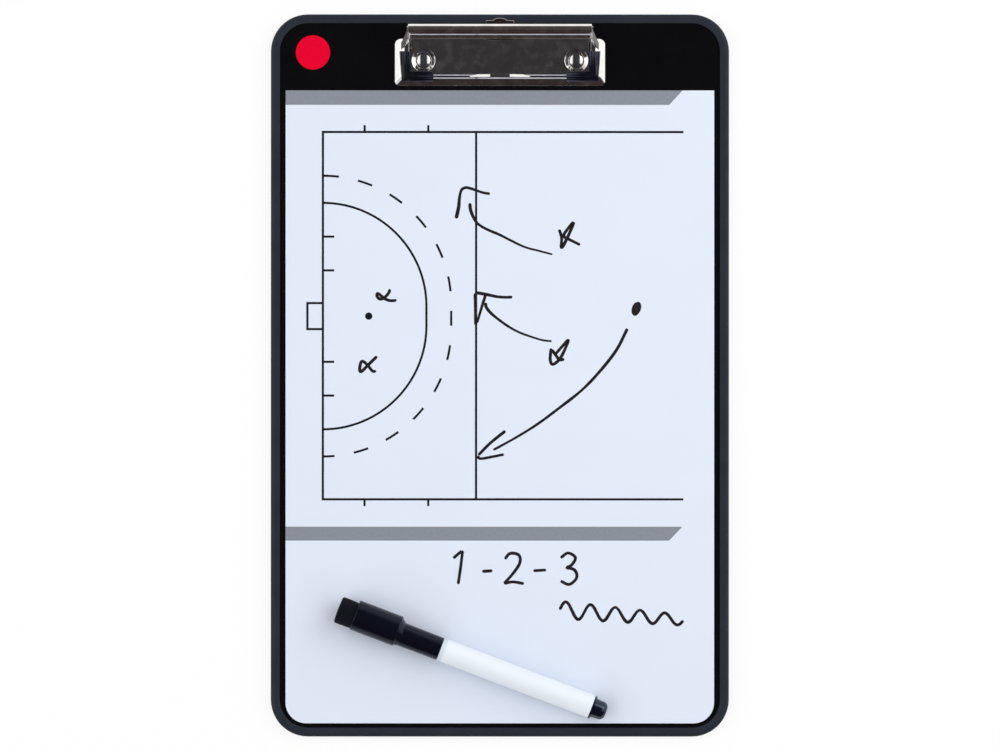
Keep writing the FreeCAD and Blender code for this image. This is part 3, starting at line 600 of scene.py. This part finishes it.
def ribbed(name, color, crest_wear_and_highlight_color, roughness):
    """A dark ribbed moulding whose sharp crests are paler: partly rubbed wear, partly a painted highlight on
    the ribs.
    """
    material, tree, shader = new_material(name, color, roughness, specular=0.35)
    crest = tree.nodes.new("ShaderNodeNewGeometry").outputs["Pointiness"]
    # Paler crests by how sharp the surface is: rubbed wear and a painted highlight.
    crest_wear_and_highlight = spread(tree, crest, 0, 1, from_low=0.54, from_high=0.66)
    tree.links.new(mixed_color(tree, crest_wear_and_highlight, color, crest_wear_and_highlight_color), shader.inputs["Base Color"])
    patches = grain(tree, mould_gloss_patch)
    gloss(tree, shader, patches, bright=roughness * mould_bright, dull=roughness * mould_dull)
    bump(tree, shader, grain(tree, 0.35 * MM, detail=3.0), depth=0.004 * MM, edge=0.2 * MM)
    return material


def plated(name, color, roughness):
    """Bright plated sheet: faint smears, fine scratches, dull smudges and a slight ripple."""
    material, tree, shader = new_material(name, color, roughness, metallic=1.0)
    tint(tree, shader, grain(tree, 8 * MM, detail=7.0), color, dark=0.87, light=1.08)
    scratch = grain(tree, 2.4 * MM, detail=2.0, stretch=(0.25, 14.0, 1.0))
    gloss(tree, shader, scratch, bright=roughness * 0.7, dull=roughness * 1.9, from_low=0.4, from_high=0.75)
    smudge = grain(tree, 4 * MM, detail=9.0)
    smudge = spread(tree, smudge, low=1.0, high=0.975, from_low=0.5, from_high=0.75)
    tree.links.new(smudge, shader.inputs["Metallic"])
    bump(tree, shader, grain(tree, 14 * MM, detail=1.0), depth=0.012 * MM, edge=0.25 * MM)
    return material


def drawn_steel(name, color, roughness):
    """Drawn wire or stamped steel with lengthwise lines."""
    material, tree, shader = new_material(name, color, roughness, metallic=1.0)
    lines = grain(tree, 0.5 * MM, detail=3.0, stretch=(0.08, 1.0, 1.0))
    tint(tree, shader, lines, color, dark=0.8, light=1.1)
    gloss(tree, shader, lines, bright=roughness * 0.8, dull=roughness * 1.3)
    bump(tree, shader, lines, depth=0.006 * MM)
    return material


def film(name, color, roughness):
    """Dry-erase film: a smooth gloss with faint wiped smears."""
    material, tree, shader = new_material(name, color, roughness)
    smear = grain(tree, 45 * MM, detail=2.0, stretch=(1.0, 2.2, 1.0))
    tint(tree, shader, smear, color, dark=0.995, light=1.005)
    gloss(tree, shader, smear, bright=roughness - 0.02, dull=roughness + 0.02)
    bump(tree, shader, grain(tree, 3 * MM, detail=1.0), depth=0.002 * MM)
    return material


def fibrous(name, color, cell, depth, sheen=0.0):
    """Felt or fibre: short crossed fibres, a rough surface and a soft sheen."""
    material, tree, shader = new_material(name, color, roughness=0.95, specular=0.15)
    shader.inputs["Sheen Weight"].default_value = sheen
    shader.inputs["Sheen Roughness"].default_value = 0.6
    threads = grain(tree, cell, detail=8.0, stretch=(1.0, 1.0, 0.35))
    tint(tree, shader, threads, color, dark=0.5, light=1.7)
    bump(tree, shader, threads, depth)
    return material


def printed(name, color, roughness=0.42, specular=0.2):
    """Screen print: an even colour with a faint unevenness."""
    material, tree, shader = new_material(name, color, roughness, specular=specular)
    uneven = grain(tree, 1.2 * MM, detail=5.0)
    tint(tree, shader, uneven, color, dark=0.95, light=1.05)
    gloss(tree, shader, uneven, bright=roughness * 0.9, dull=roughness * 1.1)
    return material


def inked(name, color, roughness):
    """Marker ink: dark, with streaks where the nib ran dry."""
    material, tree, shader = new_material(name, color, roughness, specular=0.2)
    streak = grain(tree, 1.6 * MM, detail=4.0)
    tint(tree, shader, streak, color, dark=1.0, light=3.0, from_low=0.45, from_high=0.8)
    gloss(tree, shader, streak, bright=roughness - 0.1, dull=roughness + 0.1)
    return material


# Colour, then roughness, then the cell and the depth of the grain
rim_finish = grained("rim_soft", (0.0185, 0.0227, 0.0346), 0.55, 0.5 * MM, 0.02 * MM, specular=0.15)
panel_finish = grained("panel_black", (0.0022, 0.0022, 0.0028), 0.14, 0.9 * MM, 0.0015 * MM)
sheet_finish = film("sheet_white", (0.746, 0.807, 0.924), 0.3)
chrome_finish = plated("clip_chrome", (0.88, 0.855, 0.83), 0.075)
rivet_finish = plated("rivet_chrome", (0.88, 0.87, 0.86), 0.06)
# The eyelet is the clip's plated steel made darker: painted shade, where it lies under the lever.
eyelet_shaded_finish = plated("eyelet_steel_painted_shade", (0.36, 0.31, 0.28), 0.1)
steel_finish = drawn_steel("drawn_steel", (0.48, 0.48, 0.49), 0.3)
spring_finish = drawn_steel("spring_steel", (0.36, 0.36, 0.37), 0.32)
# The guard's second colour is its crests' paler tone: rubbed wear and a painted highlight.
guard_finish = ribbed("guard_black", (0.002, 0.0028, 0.0070), (0.12, 0.135, 0.19), 0.3)
barrel_finish = grained("barrel_white", (0.83, 0.88, 0.945), 0.34, 1.4 * MM, 0.004 * MM, vary=0.012)
# The front section's white is darker and cooler than the barrel's: painted shade along the collar's step.
front_shaded_finish = grained("front_white", (0.68, 0.74, 0.83), 0.5, 0.5 * MM, 0.008 * MM, vary=0.02)
cap_finish = grained("cap_black", (0.0036, 0.0040, 0.0092), 0.14, 0.9 * MM, 0.002 * MM, specular=0.32)
plug_finish = grained("plug_black", (0.0035, 0.0055, 0.0135), 0.12, 0.9 * MM, 0.002 * MM, specular=0.7)
seal_finish = grained("seal_soft", (0.01, 0.01, 0.01), 0.7, 0.5 * MM, 0.01 * MM)
line_finish = printed("print_black", (0.006, 0.006, 0.009))
band_finish = printed("print_grey", (0.243, 0.265, 0.308))
badge_finish = printed("badge_red", (0.775, 0.0005, 0.026), 0.5, specular=0.04)
ink_finish = inked("marker_ink", (0.010, 0.0072, 0.0085), 0.45)

# Colour, then the cell and the depth of the fibres
nib_finish = fibrous("nib_felt", (0.006, 0.005, 0.006), 0.25 * MM, 0.03 * MM)
reservoir_finish = fibrous("reservoir_fibre", (0.008, 0.007, 0.009), 0.4 * MM, 0.05 * MM)
felt_finish = fibrous("eraser_felt", (0.0027, 0.0032, 0.0064), 0.3 * MM, 0.08 * MM, sheen=0.02)

# The cap and plug mirror light with a cool tint.
for finish in (cap_finish, plug_finish):
    shader = finish.node_tree.nodes["Principled BSDF"]
    shader.inputs["Specular Tint"].default_value = (*cool_mirror, 1.0)

node_finishes = {
    "edge_frame": rim_finish,
    "board_core": panel_finish,
    "writing_sheet": sheet_finish,
    "clip_base_plate": chrome_finish,
    "rivet_left": rivet_finish,
    "rivet_right": rivet_finish,
    "rivet_washers": steel_finish,
    "hinge_pin": steel_finish,
    "torsion_spring_left": spring_finish,
    "torsion_spring_right": spring_finish,
    "clip_bow": chrome_finish,
    "corner_guard_left": guard_finish,
    "corner_guard_right": guard_finish,
    "hanging_eyelet": eyelet_shaded_finish,
    "marker_barrel": barrel_finish,
    "marker_front_section": front_shaded_finish,
    "marker_nib": nib_finish,
    "ink_reservoir": reservoir_finish,
    "marker_end_plug": plug_finish,
    "marker_cap": cap_finish,
    "cap_inner_seal": seal_finish,
    "eraser_pad": felt_finish,
}
for name, finish in node_finishes.items():
    nodes[name].data.materials.clear()
    nodes[name].data.materials.append(finish)

# Prints and ink on the board
drawn_pieces = [
    ("field_print", draw_field, line_finish, "sheet_white"),
    ("heading_bands", draw_bands, band_finish, "sheet_white"),
    ("ink_arrows", draw_arrows, ink_finish, "nib_felt"),
    ("ink_players", draw_players, ink_finish, "nib_felt"),
    ("ink_numbers", draw_numbers, ink_finish, "nib_felt"),
    ("ink_wave", draw_wave, ink_finish, "nib_felt"),
    ("badge_disc", draw_badge, badge_finish, "panel_black"),
]
for name, draw, finish, slot in drawn_pieces:
    piece = mesh_piece(name, draw)
    piece.data.materials.append(finish)
    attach(piece, "board")

# Felt eraser on the cap
felt = mesh_piece("eraser_felt_pad", draw_felt)
felt.data.materials.append(felt_finish)
felt.data.shade_smooth()
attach(felt, "cap")
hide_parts("eraser_pad")

# Springs: each is drawn as a copy of its mesh, in place of the hidden part
for side in ("left", "right"):
    node = "torsion_spring_" + side
    spring = bpy.data.objects.new("spring_wire_" + side, nodes[node].data.copy())
    bpy.context.scene.collection.objects.link(spring)
    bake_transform(spring)
    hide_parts(node)


# Stage, light and camera

def calculated(tree, operation, first, second=0.0):
    """A Math node's result for two sockets or numbers."""
    node = tree.nodes.new("ShaderNodeMath")
    node.operation = operation
    for value, socket in ((first, node.inputs[0]), (second, node.inputs[1])):
        if isinstance(value, float):
            socket.default_value = value
        else:
            tree.links.new(value, socket)
    return node.outputs["Value"]


def smooth_range(tree, value, start, end):
    """0 to 1 as a value goes from start to end."""
    node = tree.nodes.new("ShaderNodeMapRange")
    node.interpolation_type = "SMOOTHSTEP"
    node.inputs["From Min"].default_value = start
    node.inputs["From Max"].default_value = end
    tree.links.new(value, node.inputs["Value"])
    return node.outputs["Result"]


def mixed_shader(tree, factor, first, second):
    """The second shader over the first."""
    node = tree.nodes.new("ShaderNodeMixShader")
    for value, socket in zip((factor, first, second), node.inputs):
        tree.links.new(value, socket)
    return node.outputs["Shader"]


def shown_rays(tree):
    """1 for camera, glossy and transmission rays."""
    path = tree.nodes.new("ShaderNodeLightPath")
    shown = calculated(tree, "MAXIMUM", path.outputs["Is Camera Ray"], path.outputs["Is Glossy Ray"])
    return calculated(tree, "MAXIMUM", shown, path.outputs["Is Transmission Ray"])


def add_floor():
    """Pale floor, white to the camera and to reflections, that keeps a soft shadow."""
    mesh = bpy.data.meshes.new("floor")
    half = floor_half
    low = cad_low.z - floor_gap
    corners = [(-half, -half, low), (half, -half, low), (half, half, low), (-half, half, low)]
    mesh.from_pydata(corners, [], [(0, 1, 2, 3)])
    floor = bpy.data.objects.new("floor", mesh)
    bpy.context.scene.collection.objects.link(floor)
    material = bpy.data.materials.new("floor_white")
    material.use_nodes = True
    tree = material.node_tree
    tree.nodes.clear()
    diffuse = tree.nodes.new("ShaderNodeBsdfDiffuse")
    diffuse.inputs["Color"].default_value = (*floor_color, 1.0)
    glow = tree.nodes.new("ShaderNodeEmission")
    share = calculated(tree, "MULTIPLY", shown_rays(tree), floor_glow)
    surface = mixed_shader(tree, share, diffuse.outputs["BSDF"], glow.outputs["Emission"])
    output = tree.nodes.new("ShaderNodeOutputMaterial")
    tree.links.new(surface, output.inputs["Surface"])
    mesh.materials.append(material)


def add_world():
    """White to the camera; for light and reflections white sides, a dim back and a dark roof and front.

    The white sides reach round to the front for light, but not in reflections.
    """
    world = bpy.data.worlds.new("studio")
    bpy.context.scene.world = world
    world.use_nodes = True
    tree = world.node_tree
    tree.nodes.clear()
    place = tree.nodes.new("ShaderNodeTexCoord")
    split = tree.nodes.new("ShaderNodeSeparateXYZ")
    tree.links.new(place.outputs["Generated"], split.inputs["Vector"])
    x, y, z = split.outputs
    path = tree.nodes.new("ShaderNodeLightPath")
    hidden = smooth_range(tree, y, *side_mirror_end)
    hidden = calculated(tree, "MULTIPLY", hidden, path.outputs["Is Glossy Ray"])
    side = smooth_range(tree, calculated(tree, "ABSOLUTE", x), *side_turn)
    side = calculated(tree, "MULTIPLY", side, calculated(tree, "SUBTRACT", 1.0, hidden))
    color = mixed_color(tree, smooth_range(tree, y, *front_turn), roof_color, front_color)
    color = mixed_color(tree, smooth_range(tree, z, *horizon_turn), color, horizon_color)
    color = mixed_color(tree, smooth_range(tree, y, *back_turn), color, back_color)
    color = mixed_color(tree, side, color, side_color)
    studio = tree.nodes.new("ShaderNodeBackground")
    tree.links.new(color, studio.inputs["Color"])
    white = tree.nodes.new("ShaderNodeBackground")
    white.inputs["Color"].default_value = (1.0, 1.0, 1.0, 1.0)
    seen = path.outputs["Is Camera Ray"]
    surface = mixed_shader(tree, seen, studio.outputs["Background"], white.outputs["Background"])
    output = tree.nodes.new("ShaderNodeOutputWorld")
    tree.links.new(surface, output.inputs["Surface"])


def add_softbox(name, place, size, power, mirrored):
    """Square area light aimed at the board's middle, seen in reflections or not."""
    data = bpy.data.lights.new(name, "AREA")
    data.size = size
    data.energy = power
    lamp = bpy.data.objects.new(name, data)
    lamp.location = place
    lamp.rotation_euler = (-Vector(place)).to_track_quat("-Z", "Y").to_euler()
    lamp.visible_camera = False
    lamp.visible_glossy = mirrored
    bpy.context.scene.collection.objects.link(lamp)


def add_camera():
    """Camera that looks straight down."""
    data = bpy.data.cameras.new("camera")
    data.lens = camera_lens
    data.clip_end = camera_reach
    camera = bpy.data.objects.new("camera", data)
    camera.location = camera_place
    camera.rotation_euler = (0.0, 0.0, math.radians(camera_roll))
    bpy.context.scene.collection.objects.link(camera)
    bpy.context.scene.camera = camera


add_floor()
add_world()
for softbox in softboxes:
    add_softbox(*softbox)
add_camera()
bpy.context.scene.view_settings.view_transform = "Standard"
